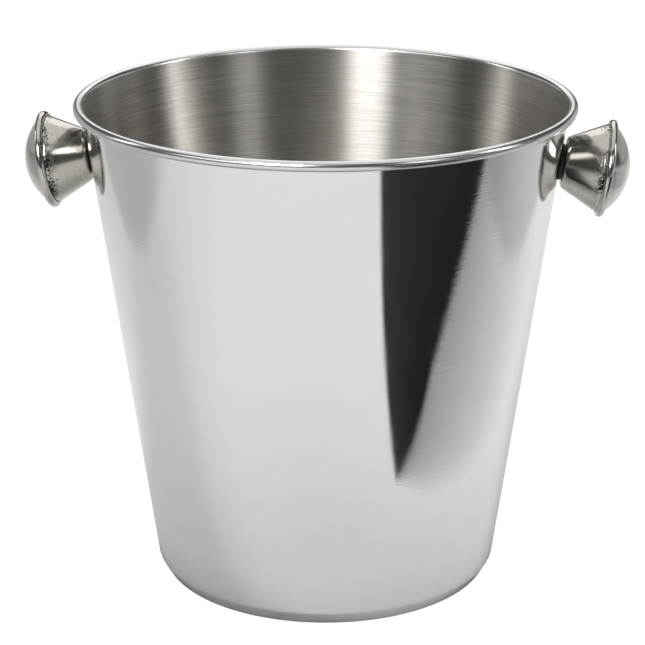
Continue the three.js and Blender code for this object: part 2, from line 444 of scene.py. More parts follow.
@dataclass(frozen=True)
class Finish:
    """What every finish has: its colour, what that becomes where it is marked, and how rough it is."""

    name: str
    colour: tuple[float, float, float, float]
    marked: tuple[float, float, float, float]
    roughness: float

    def material(self, effects: Effects) -> Material:
        """Builds the material.

        Args:
            effects: The shared node groups.

        Returns:
            The material.
        """
        material, bench, shader = new_material(self.name)
        bench.feed(shader, self.feeds(bench, effects))
        return material

    def feeds(self, bench: Bench, effects: Effects) -> Feeds:
        """What the shader is fed, which each kind of finish says for itself."""
        raise NotImplementedError

    @staticmethod
    def turned_place(bench: Bench) -> Socket:
        """Where a point lies on the lathe that turned its piece."""
        return bench.add("Attribute", attribute_name=TURNED).outputs["Vector"]

    @staticmethod
    def piece_place(bench: Bench) -> Socket:
        """Where a point lies in its piece."""
        return bench.add("TexCoord").outputs["Object"]


@dataclass(frozen=True)
class PolishedSteel(Finish):
    """Steel polished to a mirror on a wheel, with faint lines, smudges and hairline scratches."""

    smudged: float  # how much rougher a smudge is
    line_bump: float
    pitch: float = 1800.0
    sweep: float = 2.0
    smudge_scale: float = 16.0
    scratch_scale: float = 9.0
    groove: float | None = None  # metres along the lathe to the valley under the roll, where shade is painted into the colour
    valley: float | None = None  # metres along the lathe to a valley that a wheel can't reach into

    def feeds(self, bench: Bench, effects: Effects) -> Feeds:
        """Wheel lines and marks, the dirt of a groove, and painted shade in a valley.

        Args:
            bench: The material's bench.
            effects: The shared node groups.

        Returns:
            What the shader is fed.
        """
        place = self.turned_place(bench)
        lines, bands = bench.effect(effects[Effect.TURNED_LINES], place, self.pitch, self.sweep)
        smudges, scratches = bench.effect(
            effects[Effect.HANDLING_MARKS], place, self.smudge_scale, self.scratch_scale
        )
        share = bench.maths("MULTIPLY", smudges, bands)
        rubbed = bench.spread(lines, 0.3, 0.7, 0.0, 0.45)
        colour = bench.mixed(bench.maths("MAXIMUM", share, rubbed), self.colour, self.marked)
        blur = bench.maths("MULTIPLY_ADD", smudges, self.smudged, self.roughness)
        blur = bench.maths("MULTIPLY_ADD", scratches, 0.03, blur)
        normal = bench.bump(lines, self.line_bump, 4e-5)
        if self.groove is not None:
            specks = self._specks(bench, place)
            colour = bench.mixed(specks, colour, (0.03, 0.027, 0.024, 1))
            blur = bench.maths("MULTIPLY_ADD", specks, 0.5, blur)
            normal = bench.bump(bench.maths("SUBTRACT", 1.0, specks), 0.5, 6e-5, Normal=normal)
        # Painted shade: the valley under the rolled rim is darkened in the colour itself.
        if self.valley is not None:
            colour = bench.mixed(self._painted_valley_shade(bench, place), colour, (0.27, 0.26, 0.245, 1))
        return {"Base Color": colour, "Roughness": blur, "Normal": normal, "Metallic": 1.0}

    def _painted_valley_shade(self, bench: Bench, place: Socket) -> Socket:
        """Mask of the painted shade in the valley under the roll, uneven round the turn.

        Args:
            bench: The material's bench.
            place: Where a point lies on the lathe.

        Returns:
            The mask.
        """
        level = bench.add("SeparateXYZ", {0: place}).outputs[2]
        below = bench.spread(level, self.valley - 0.0012, self.valley - 0.0002)
        above = bench.spread(level, self.valley + 0.0002, self.valley + 0.0010, 1.0, 0.0)
        uneven = bench.spread(bench.noise(place, 30.0), 0.3, 0.7, 0.45, 0.75)
        return bench.maths("MULTIPLY", bench.maths("MULTIPLY", below, above), uneven)

    def _specks(self, bench: Bench, place: Socket) -> Socket:
        """Mask of pits and dried polish, thickest in the groove and thinning out towards the wall.

        Args:
            bench: The material's bench.
            place: Where a point lies on the lathe.

        Returns:
            The mask.
        """
        level = bench.add("SeparateXYZ", {0: place}).outputs[2]
        near = bench.spread(level, self.groove - 0.0055, self.groove - 0.0003)
        before = bench.spread(level, self.groove + 0.0002, self.groove + 0.0008, 1.0, 0.0)
        patches = bench.spread(bench.noise(place, 85.0), 0.42, 0.66, 0.3, 1.0)
        thick = bench.maths("MULTIPLY", bench.maths("MULTIPLY", near, before), patches)
        grain = bench.noise(place, 1350.0, 3.0, Roughness=0.6)
        crowd = bench.maths("MULTIPLY_ADD", thick, 0.3, grain)
        return bench.maths("MULTIPLY", bench.spread(crowd, 0.655, 0.76), before)


@dataclass(frozen=True)
class BrushedSteel(Finish):
    """Steel brushed round and round, so that lights smear into streaks across the brushing."""

    anisotropy: float
    pitch: float = 2600.0
    sweep: float = 3.0

    def feeds(self, bench: Bench, effects: Effects) -> Feeds:
        """Dense lines round the turn, and a shine that spreads across them.

        Args:
            bench: The material's bench.
            effects: The shared node groups.

        Returns:
            What the shader is fed.
        """
        place = self.turned_place(bench)
        lines, bands = bench.effect(effects[Effect.TURNED_LINES], place, self.pitch, self.sweep)
        return {
            "Base Color": bench.mixed(bench.spread(lines, 0.3, 0.7), self.marked, self.colour),
            "Roughness": bench.maths("MULTIPLY_ADD", bands, 0.12, self.roughness),
            "Metallic": 1.0,
            "Anisotropic": self.anisotropy,
            "Anisotropic Rotation": 0.25,
            "Tangent": bench.add("Tangent", direction_type="RADIAL", axis="Z").outputs[0],
            "Normal": bench.bump(lines, 0.35, 3e-5),
        }


@dataclass(frozen=True)
class PlainSteel(Finish):
    """Satin steel of washers, screws, nuts and plates."""

    smudge_scale: float = 140.0
    scratch_scale: float = 60.0
    grain_scale: float = 2400.0

    def feeds(self, bench: Bench, effects: Effects) -> Feeds:
        """A fine grain with handling marks.

        Args:
            bench: The material's bench.
            effects: The shared node groups.

        Returns:
            What the shader is fed.
        """
        place = self.piece_place(bench)
        smudges, scratches = bench.effect(
            effects[Effect.HANDLING_MARKS], place, self.smudge_scale, self.scratch_scale
        )
        grain = bench.noise(place, self.grain_scale)
        share = bench.maths("MULTIPLY", smudges, grain)
        blur = bench.maths("MULTIPLY_ADD", smudges, 0.15, self.roughness)
        return {
            "Base Color": bench.mixed(share, self.colour, self.marked),
            "Roughness": bench.maths("MULTIPLY_ADD", scratches, 0.1, blur),
            "Metallic": 1.0,
            "Normal": bench.bump(grain, 0.25, 2e-5),
        }


@dataclass(frozen=True)
class Rubber(Finish):
    """Matt black rubber with a fine moulded grain."""

    roughest: float
    smudge_scale: float = 160.0
    scratch_scale: float = 40.0
    grain_scale: float = 1800.0

    def feeds(self, bench: Bench, effects: Effects) -> Feeds:
        """A moulded grain, paler where it is handled.

        Args:
            bench: The material's bench.
            effects: The shared node groups.

        Returns:
            What the shader is fed.
        """
        place = self.piece_place(bench)
        smudges, _ = bench.effect(
            effects[Effect.HANDLING_MARKS], place, self.smudge_scale, self.scratch_scale
        )
        grain = bench.noise(place, self.grain_scale, 3.0)
        return {
            "Base Color": bench.mixed(smudges, self.colour, self.marked),
            "Roughness": bench.spread(grain, 0.3, 0.7, self.roughness, self.roughest),
            "Normal": bench.bump(grain, 0.4, 3e-5),
        }


class Finishes:
    """Every material of the object, built once."""

    def __init__(self) -> None:
        """Builds the groups and the materials."""
        effects = Effects()
        self.mirror = PolishedSteel(
            "mirror_steel_polished", (0.757, 0.749, 0.733, 1), (0.706, 0.698, 0.681, 1), 0.05,
            smudged=0.05, line_bump=0.35, valley=0.2044,
        ).material(effects)
        self.rolled = PolishedSteel(
            "mirror_steel_rolled_rim", (0.72, 0.715, 0.705, 1), (0.66, 0.655, 0.645, 1), 0.22,
            smudged=0.06, line_bump=0.05, valley=0.2044,
        ).material(effects)
        self.brushed = BrushedSteel(
            "mirror_steel_brushed_inside", (0.67, 0.645, 0.615, 1), (0.44, 0.42, 0.395, 1), 0.27,
            anisotropy=0.93,
        ).material(effects)
        self.knob = PolishedSteel(
            "knob_steel_polished", (0.56, 0.54, 0.515, 1), (0.42, 0.40, 0.375, 1), 0.16,
            smudged=0.12, line_bump=0.1, pitch=2200.0,
        ).material(effects)
        self.bell = PolishedSteel(
            "knob_steel_polished_bell", (0.60, 0.575, 0.54, 1), (0.42, 0.395, 0.365, 1), 0.17,
            smudged=0.12, line_bump=0.1, pitch=2200.0, groove=0.0178,
        ).material(effects)
        self.plain = PlainSteel(
            "plain_steel_satin", (0.58, 0.575, 0.565, 1), (0.46, 0.455, 0.445, 1), 0.3
        ).material(effects)
        self.rubber = Rubber(
            "black_rubber_moulded", (0.022, 0.022, 0.022, 1), (0.05, 0.05, 0.048, 1), 0.55, roughest=0.8
        ).material(effects)


# ---------------------------------------------------------------- bucket


@dataclass
class Bucket:
    """Base, tapered wall and rolled rim, drawn and rolled from one sheet."""

    finishes: Finishes
    height: float
    rim_diameter: float
    roll_diameter: float = 4.2
    roll_turn: float = 295.0
    foot_diameter: float = 141.4
    crease_diameter: float = 148.0
    crease_height: float = 5.8
    panel_diameter: float = 122.0
    panel_rise: float = 1.2
    panel_slope: float = 2.0
    sheet: float = 0.7
    foot_round: float = 1.2
    crease_round: float = 1.5
    panel_round: float = 0.8
    bore: float = 5.6
    patch: float = 4.8  # half the side of the square that is cleared for a screw hole
    patch_margin: float = 1.2  # how far past that square whole faces are cleared
    turn_steps: int = 256
    roll_steps: int = 28

    @classmethod
    def from_frame(cls, finishes: Finishes) -> "Bucket":
        """A bucket of the height and rim that the CAD body has."""
        low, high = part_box("bucket_body")
        return cls(finishes, height=high.z / MM, rim_diameter=(high.x - low.x) / MM)

    @property
    def roll_centre(self) -> Vector:
        """Middle of the rolled edge's section."""
        half = self.roll_diameter / 2
        return Vector((self.rim_diameter / 2 - half, self.height - half))

    @property
    def roll_skin(self) -> float:
        """Radius that the wall's outer skin turns at in the roll."""
        return self.roll_diameter / 2 - self.sheet

    @property
    def crease(self) -> Vector:
        """Where the wall turns in towards the foot."""
        return Vector((self.crease_diameter / 2, self.crease_height))

    @property
    def lean(self) -> float:
        """The wall's angle from upright, in radians."""
        rise = self.roll_centre - self.crease
        return math.atan2(rise.x, rise.y) - math.asin(self.roll_skin / rise.length)

    def wall_radius(self, height: float) -> float:
        """Radius of the wall's outer skin at a height."""
        return self.crease.x + (height - self.crease.y) * math.tan(self.lean)

    def wall_place(self, height: float) -> Vector:
        """The wall's outer skin at a height, as a point of the outline."""
        return Vector((self.wall_radius(height), height))

    def build(self, axes: list[Matrix]) -> None:
        """Builds the body.

        Args:
            axes: The frame of each knob, with its Z out of the wall along the screw.
        """
        lathe = Lathe()
        self._draw(lathe, axes[0])
        lathe.turn(self.turn_steps)
        for axis in axes:
            self._screw_hole(lathe.mesh, axis)
        lathe.face_outwards(Vector((0, 0, -1)), Vector((0, 0, 0)))
        lathe.thicken(self.sheet)
        self._brush_inside(lathe.mesh)
        lathe.remember()
        finishes = [self.finishes.mirror, self.finishes.brushed, self.finishes.rolled]
        finish_piece(lathe.mesh, "bucket", finishes, "bucket_body")

    def _draw(self, lathe: Lathe, axis: Matrix) -> None:
        """Draws the outer skin from the middle of the base to the cut edge inside the roll.

        Args:
            lathe: Where it is drawn.
            axis: The frame of a knob, which sets the loops round the screw holes.
        """
        panel = self.panel_diameter / 2
        hole = axis.translation.z / MM
        reach = self.patch * math.cos(self.lean)
        base = [
            Corner(0, self.panel_rise),
            Corner(panel, self.panel_rise, self.panel_round),
            Corner(panel + self.panel_slope, 0, self.foot_round),
            Corner(self.foot_diameter / 2, 0, self.foot_round, steps=10),
            Corner(self.crease.x, self.crease.y, self.crease_round),
        ]
        below = self.wall_place(hole - reach)
        outline = lathe.draw([*base, Corner(below.x, below.y)])
        for share in (-0.5, 0.0, 0.5, 1.0):
            outline.line_to(self.wall_place(hole + reach * share))
        leave = self.roll_centre + self.roll_skin * Vector((-math.cos(self.lean), math.sin(self.lean)))
        outline.line_to(leave - (leave - outline.place).normalized() * SUPPORT, steps=2)
        outline.line_to(leave)
        outline.arc(self.roll_centre, -math.radians(self.roll_turn), self.roll_steps)

    def _screw_hole(self, mesh: Mesh, axis: Matrix) -> None:
        """Opens the wall for a screw.

        Args:
            mesh: The turned skin.
            axis: The frame of the knob that the screw holds.
        """
        reach = self.patch * MM * self.patch_margin
        middle = axis.translation
        cleared = [f for f in mesh.faces if self._within(f.calc_center_median(), middle, reach)]
        bmesh.ops.delete(mesh, geom=cleared, context="FACES")
        near = 3 * reach
        rim = [e for e in mesh.edges if e.is_boundary and (e.verts[0].co - middle).length < near]
        circle = bmesh.ops.create_circle(
            mesh, cap_ends=False, radius=self.bore / 2 * MM, segments=len(rim), matrix=axis
        )["verts"]
        for vert in circle:
            flat = Vector((vert.co.x, vert.co.y, 0))
            grown = flat.normalized() * self.wall_radius(vert.co.z / MM) * MM
            vert.co = (grown.x, grown.y, vert.co.z)
        hoop = {edge for vert in circle for edge in vert.link_edges}
        bmesh.ops.bridge_loops(mesh, edges=[*rim, *hoop])

    @staticmethod
    def _within(spot: Vector, middle: Vector, reach: float) -> bool:
        """Whether a spot lies in the square that is cleared round a hole."""
        away = spot - middle
        return away.x**2 < reach**2 and abs(away.y) < reach and abs(away.z) < reach

    def _brush_inside(self, mesh: Mesh) -> None:
        """Gives the inside, below the roll, the brushed finish, and the roll its own.

        Args:
            mesh: The thickened body.
        """
        top = (self.roll_centre.y + self.roll_skin * math.sin(self.lean)) * MM
        roll = (self.roll_diameter / 2 + 0.05) * MM
        for face in mesh.faces:
            spot = face.calc_center_median()
            away = Vector((Vector((spot.x, spot.y)).length, spot.z)) - self.roll_centre * MM
            out = Vector((spot.x, spot.y, 0)).normalized() - Vector((0, 0, 1))
            inside = face.normal.dot(out) < 0 and spot.z < top
            face.material_index = 1 if inside else 2 if away.length < roll else 0


# ---------------------------------------------------------------- knobs


@dataclass
class Knob:
    """A hollow bell and a domed cap rolled round its flange, screwed on from inside the bucket.

    Levels run along the knob's axis in millimetres, from 0 at the outside of the wall.
    """

    finishes: Finishes
    side: str
    axis: Matrix
    gap: float = 0.3
    reach: float = 29.2
    flange_diameter: float = 41.0
    hem_clearance: float = 0.5
    hem_depth: float = 1.95
    dome_height: float = 8.05
    dome_inset: float = 2.6
    groove: float = 0.8
    neck_round: float = 0.8
    end_diameter: float = 20.7
    end_round: float = 3.5
    sheet: float = 0.8
    bore: float = 5.6
    gasket: float = 0.6
    turn_steps: int = 128
    hem_steps: int = 20
    dome_steps: int = 24

    @property
    def bell_end(self) -> float:
        """Level of the bell's flat end, outside."""
        return self.gap + self.gasket + self.gap

    @property
    def hem_hollow(self) -> float:
        """Inside radius of the rolled hem's section."""
        return self.sheet / 2 + self.hem_clearance

    @property
    def hem_radius(self) -> float:
        """Outside radius of the rolled hem's section."""
        return self.hem_hollow + self.sheet

    @property
    def hem_centre(self) -> Vector:
        """Middle of the rolled hem's section."""
        front = self.reach - self.dome_height
        return Vector((self.flange_diameter / 2 - self.hem_radius, front - self.hem_radius))

    def build(self) -> None:
        """Builds the shells of the knob."""
        self._bell()
        self._cap()

    def _bell(self) -> None:
        """Turns the bell: a bored flat end, a cone, a short neck and a flange."""
        hem = self.hem_centre
        neck = self.flange_diameter / 2 - self.hem_depth - self.gap
        back = hem.y - self.sheet / 2
        flange = math.sqrt((self.hem_hollow - self.gap) ** 2 - (self.sheet / 2) ** 2)
        lathe = Lathe()
        lathe.draw(
            [
                Corner(self.bore / 2, self.bell_end),
                Corner(self.end_diameter / 2, self.bell_end, self.end_round, steps=12),
                Corner(neck, hem.y - self.hem_radius - self.groove, self.neck_round, steps=8),
                Corner(neck, back),
                Corner(hem.x + flange, back),
            ]
        )
        lathe.turn(self.turn_steps)
        lathe.face_outwards(Vector((0, 0, -1)), Vector((self.bore / 2, 0, self.bell_end)) * MM)
        self._finish(lathe, "bell", self.finishes.bell)

    def _cap(self) -> None:
        """Turns the cap: a rolled hem, and a dome that rises from inside it."""
        hem = self.hem_centre
        front = hem.y + self.hem_radius
        foot = self.flange_diameter / 2 - self.dome_inset
        sphere = (foot**2 + self.dome_height**2) / (2 * self.dome_height)
        lathe = Lathe()
        hem_start = Vector((self.flange_diameter / 2 - self.hem_depth, hem.y - self.hem_radius))
        outline = Outline(lathe.mesh, hem_start)
        outline.line_to(hem - Vector((0, self.hem_radius)))
        outline.arc(hem, math.pi, self.hem_steps)
        outline.line_to(Vector((foot + SUPPORT / 2, front)))
        outline.line_to(Vector((foot, front)))
        outline.arc(Vector((0, self.reach - sphere)), math.asin(foot / sphere), self.dome_steps)
        outline.tip.co.x = 0.0
        lathe.turn(self.turn_steps)
        lathe.face_outwards(Vector((0, 0, 1)), Vector((0, 0, self.reach)) * MM)
        self._finish(lathe, "cap", self.finishes.knob)

    def _finish(self, lathe: Lathe, part: str, finish: Material) -> None:
        """Thickens a shell, and puts it in its place on the wall.

        Args:
            lathe: The turned skin.
            part: The shell's name within the knob.
            finish: Its material.
        """
        lathe.thicken(self.sheet)
        lathe.remember()
        lathe.place(self.axis)
        name = f"{self.side}_knob_{part}"
        finish_piece(lathe.mesh, name + "_shell", [finish], name)


@dataclass
class KnobAxis:
    """Where a knob stands, read from two rings that are threaded on its screw."""

    side: str
    plate_middle: float = 3.05  # level of the backing plate's middle, from the outside of the wall

    def frame(self) -> Matrix:
        """The knob's frame.

        Returns:
            A matrix whose Z runs out of the wall along the screw, from the outside of the wall.
        """
        plate = self._middle("backing_plate")
        out = (plate - self._middle("flat_washer")).normalized()
        across = Vector((0, 0, 1)).cross(out).normalized()
        turn = Matrix((across.cross(out), across, out)).transposed().to_4x4()
        return Matrix.Translation(plate - out * self.plate_middle * MM) @ turn

    def _middle(self, part: str) -> Vector:
        """Middle of a CAD node's box."""
        low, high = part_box(f"{self.side}_knob_{part}")
        return (low + high) / 2


# ---------------------------------------------------------------- fixings


@dataclass
class Fixing:
    """What holds a knob, put in from inside the bucket: a seal, two washers and a screw.

    Levels run along the knob's axis in millimetres, from 0 at the outside of the wall, and each
    piece follows the one before it, further in.
    """

    finishes: Finishes
    side: str
    axis: Matrix
    wall_radius: float
    wall_sheet: float
    gap: float = 0.3
    bore: float = 5.6
    seal_diameter: float = 15.0
    seal_thickness: float = 1.5
    seal_round: float = 0.25
    washer_diameter: float = 11.0
    washer_thickness: float = 1.0
    washer_round: float = 0.12
    spring_diameter: float = 8.8
    spring_thickness: float = 1.2
    spring_round: float = 0.15
    spring_split: float = 0.9
    spring_slant: float = math.radians(20)
    screw_diameter: float = 5.0
    head_diameter: float = 9.5
    head_height: float = 2.9
    head_round: float = 2.0
    head_edge: float = 0.2
    tip: float = 9.6
    tip_chamfer: float = 0.6
    recess_length: float = 5.2
    recess_width: float = 1.2
    recess_depth: float = 1.6
    recess_taper: float = 0.8
    recess_snap: float = 0.02  # how near a cut takes up a point that is there already
    turn_steps: int = 96

    @property
    def seal_bottom(self) -> float:
        """Level of the seal's inner face."""
        return -(self.wall_sheet + self.gap + self.seal_thickness)

    @property
    def washer_bottom(self) -> float:
        """Level of the flat washer's inner face."""
        return self.seal_bottom - self.gap - self.washer_thickness

    @property
    def spring_bottom(self) -> float:
        """Level of the spring washer's inner face."""
        return self.washer_bottom - self.gap - self.spring_thickness

    def build(self) -> None:
        """Builds the pieces in the order that they are threaded on."""
        self._seal()
        self._flat_washer()
        self._spring_washer()
        self._screw()

    def _ring(self, diameter: float, bottom: float, top: float, ease: float,
              angle: float = 2 * math.pi) -> Lathe:
        """Turns a ring that fits the screw.

        Args:
            diameter: How wide it is.
            bottom: Level of its inner face.
            top: Level of its outer face.
            ease: Round on each edge.
            angle: How far it is turned, in radians.

        Returns:
            The lathe that it is on.
        """
        inner = self.bore / 2
        outer = diameter / 2
        start = Corner(inner, (bottom + top) / 2)
        section = ((inner, bottom), (outer, bottom), (outer, top), (inner, top))
        lathe = Lathe()
        lathe.draw([start, *(Corner(*place, ease, steps=3) for place in section), start])
        lathe.turn(self.turn_steps, angle)
        return lathe

    def _seal(self) -> None:
        """Turns the rubber seal, and hollows its face to the inside of the wall."""
        top = self.seal_bottom + self.seal_thickness
        lathe = self._ring(self.seal_diameter, self.seal_bottom, top, self.seal_round)
        middle = (self.seal_bottom + top) / 2 * MM
        for vert in lathe.mesh.verts:
            if vert.co.z > middle:
                vert.co.z -= vert.co.y**2 / (2 * self.wall_radius * MM)
        self._finish(lathe, "seal_washer", "black_rubber")

    def _flat_washer(self) -> None:
        """Turns the flat washer."""
        top = self.washer_bottom + self.washer_thickness
        lathe = self._ring(self.washer_diameter, self.washer_bottom, top, self.washer_round)
        self._finish(lathe, "flat_washer", "plain_steel")

    def _spring_washer(self) -> None:
        """Coils the spring washer from a bar, with a slanted split between its ends."""
        bottom = self.spring_bottom
        top = bottom + self.spring_thickness
        middle = (bottom + top) / 2
        mean = (self.spring_diameter / 2 + self.bore / 2) / 2
        split = self.spring_split / mean
        lathe = self._ring(self.spring_diameter, bottom, top, self.spring_round, 2 * math.pi - split)
        bmesh.ops.holes_fill(lathe.mesh, edges=[edge for edge in lathe.mesh.edges if edge.is_boundary])
        bmesh.ops.recalc_face_normals(lathe.mesh, faces=lathe.mesh.faces[:])
        for vert in lathe.mesh.verts:
            lean = (vert.co.z / MM - middle) * math.tan(self.spring_slant) / mean
            near_split = max(0.0, math.cos(math.atan2(vert.co.y, vert.co.x) + split / 2)) ** 2
            vert.co = Matrix.Rotation(math.pi / 2 + split / 2 - lean * near_split, 3, "Z") @ vert.co
        self._finish(lathe, "spring_washer", "plain_steel")

    def _screw(self) -> None:
        """Turns the screw, and presses the cross recess into its head."""
        shank = self.screw_diameter / 2
        head = self.head_diameter / 2
        under = self.spring_bottom - self.gap
        face = under - self.head_height
        lathe = Lathe()
        lathe.draw(
            [
                Corner(0, face),
                Corner(head, face, self.head_round, steps=10),
                Corner(head, under, self.head_edge, steps=3),
                Corner(shank, under),
                Corner(shank, self.tip - self.tip_chamfer),
                Corner(shank - self.tip_chamfer, self.tip),
                Corner(0, self.tip),
            ]
        )
        lathe.turn(self.turn_steps)
        self._press_recess(lathe.mesh, face * MM)
        self._finish(lathe, "screw", "plain_steel")

    def _press_recess(self, mesh: Mesh, level: float) -> None:
        """Presses a cross into the flat of the head, narrower at the bottom.

        Args:
            mesh: The turned screw.
            level: Where the flat lies, in metres.
        """
        half_width = self.recess_width / 2 * MM
        half_length = self.recess_length / 2 * MM
        for across in (Vector((1, 0, 0)), Vector((0, 1, 0))):
            for reach in (-half_length, -half_width, half_width, half_length):
                flat = self._flat_faces(mesh, level)
                parts = {item for face in flat for item in (*face.verts, *face.edges, face)}
                bmesh.ops.bisect_plane(
                    mesh,
                    geom=list(parts),
                    dist=self.recess_snap * MM,
                    plane_co=across * reach,
                    plane_no=across,
                    use_snap_center=True,
                )
        cross = []
        for face in self._flat_faces(mesh, level):
            x, y, _ = map(abs, face.calc_center_median())
            if min(x, y) < half_width and max(x, y) < half_length:
                cross.append(face)
        pressed = bmesh.ops.extrude_face_region(mesh, geom=cross)["geom"]
        bmesh.ops.delete(mesh, geom=cross, context="FACES")
        bottom = [item for item in pressed if isinstance(item, bmesh.types.BMVert)]
        bmesh.ops.scale(mesh, vec=(self.recess_taper, self.recess_taper, 1.0), verts=bottom)
        bmesh.ops.translate(mesh, vec=(0.0, 0.0, self.recess_depth * MM), verts=bottom)
        bmesh.ops.recalc_face_normals(mesh, faces=mesh.faces[:])

    @staticmethod
    def _flat_faces(mesh: Mesh, level: float) -> list[bmesh.types.BMFace]:
        """The faces that lie wholly at a level."""
        return [f for f in mesh.faces if all(abs(v.co.z - level) < MERGE for v in f.verts)]

    def _finish(self, lathe: Lathe, part: str, slot: str) -> None:
        """Puts a piece in its place behind the wall.

        Args:
            lathe: The turned piece.
            part: Its name within the knob.
            slot: Which material it takes: rubber for black_rubber, plain steel for anything else.
        """
        lathe.place(self.axis)
        name = f"{self.side}_knob_{part}"
        finish = self.finishes.rubber if slot == "black_rubber" else self.finishes.plain
        finish_piece(lathe.mesh, name + "_fitted", [finish], name)


def refinish_kept_nodes(finishes: Finishes, side: str) -> None:
    """Gives the CAD nodes of a knob that stay in the scene their materials.

    Args:
        finishes: The materials.
        side: The knob's side.
    """
    kept = {
        "saddle_gasket": finishes.rubber,
        "backing_plate": finishes.plain,
        "captive_nut": finishes.plain,
    }
    for part, finish in kept.items():
        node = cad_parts[f"{side}_knob_{part}"]
        for slot in node.material_slots:
            slot.material = finish
        log.info("%s keeps its shape, in %s", node.name, finish.name)


# ---------------------------------------------------------------- studio


@dataclass
class Softbox:
    """A rectangular lamp that faces the bucket."""

    name: str
    bearing: float  # degrees to the right of the camera, seen from the bucket
    distance: float
    height: float
    width: float
    depth: float
    power: float
    mirrored: bool = True  # whether the steel shows it
    spread: bool = True  # whether it lights the floor


@dataclass
class Shade:
    """Dark card over the floor that only reflections see, from sharp or soft edge to edge.

    Places are metres to the right of the bucket's axis and away from the camera.
    """

    name: str
    lift: float  # metres above the floor
    edges: list[list[Place]]  # rows of points, with as many in each
    covers: list[float]  # how much of the floor each row hides
    fades: list[float] | None = None  # what is left of that at each point along a row


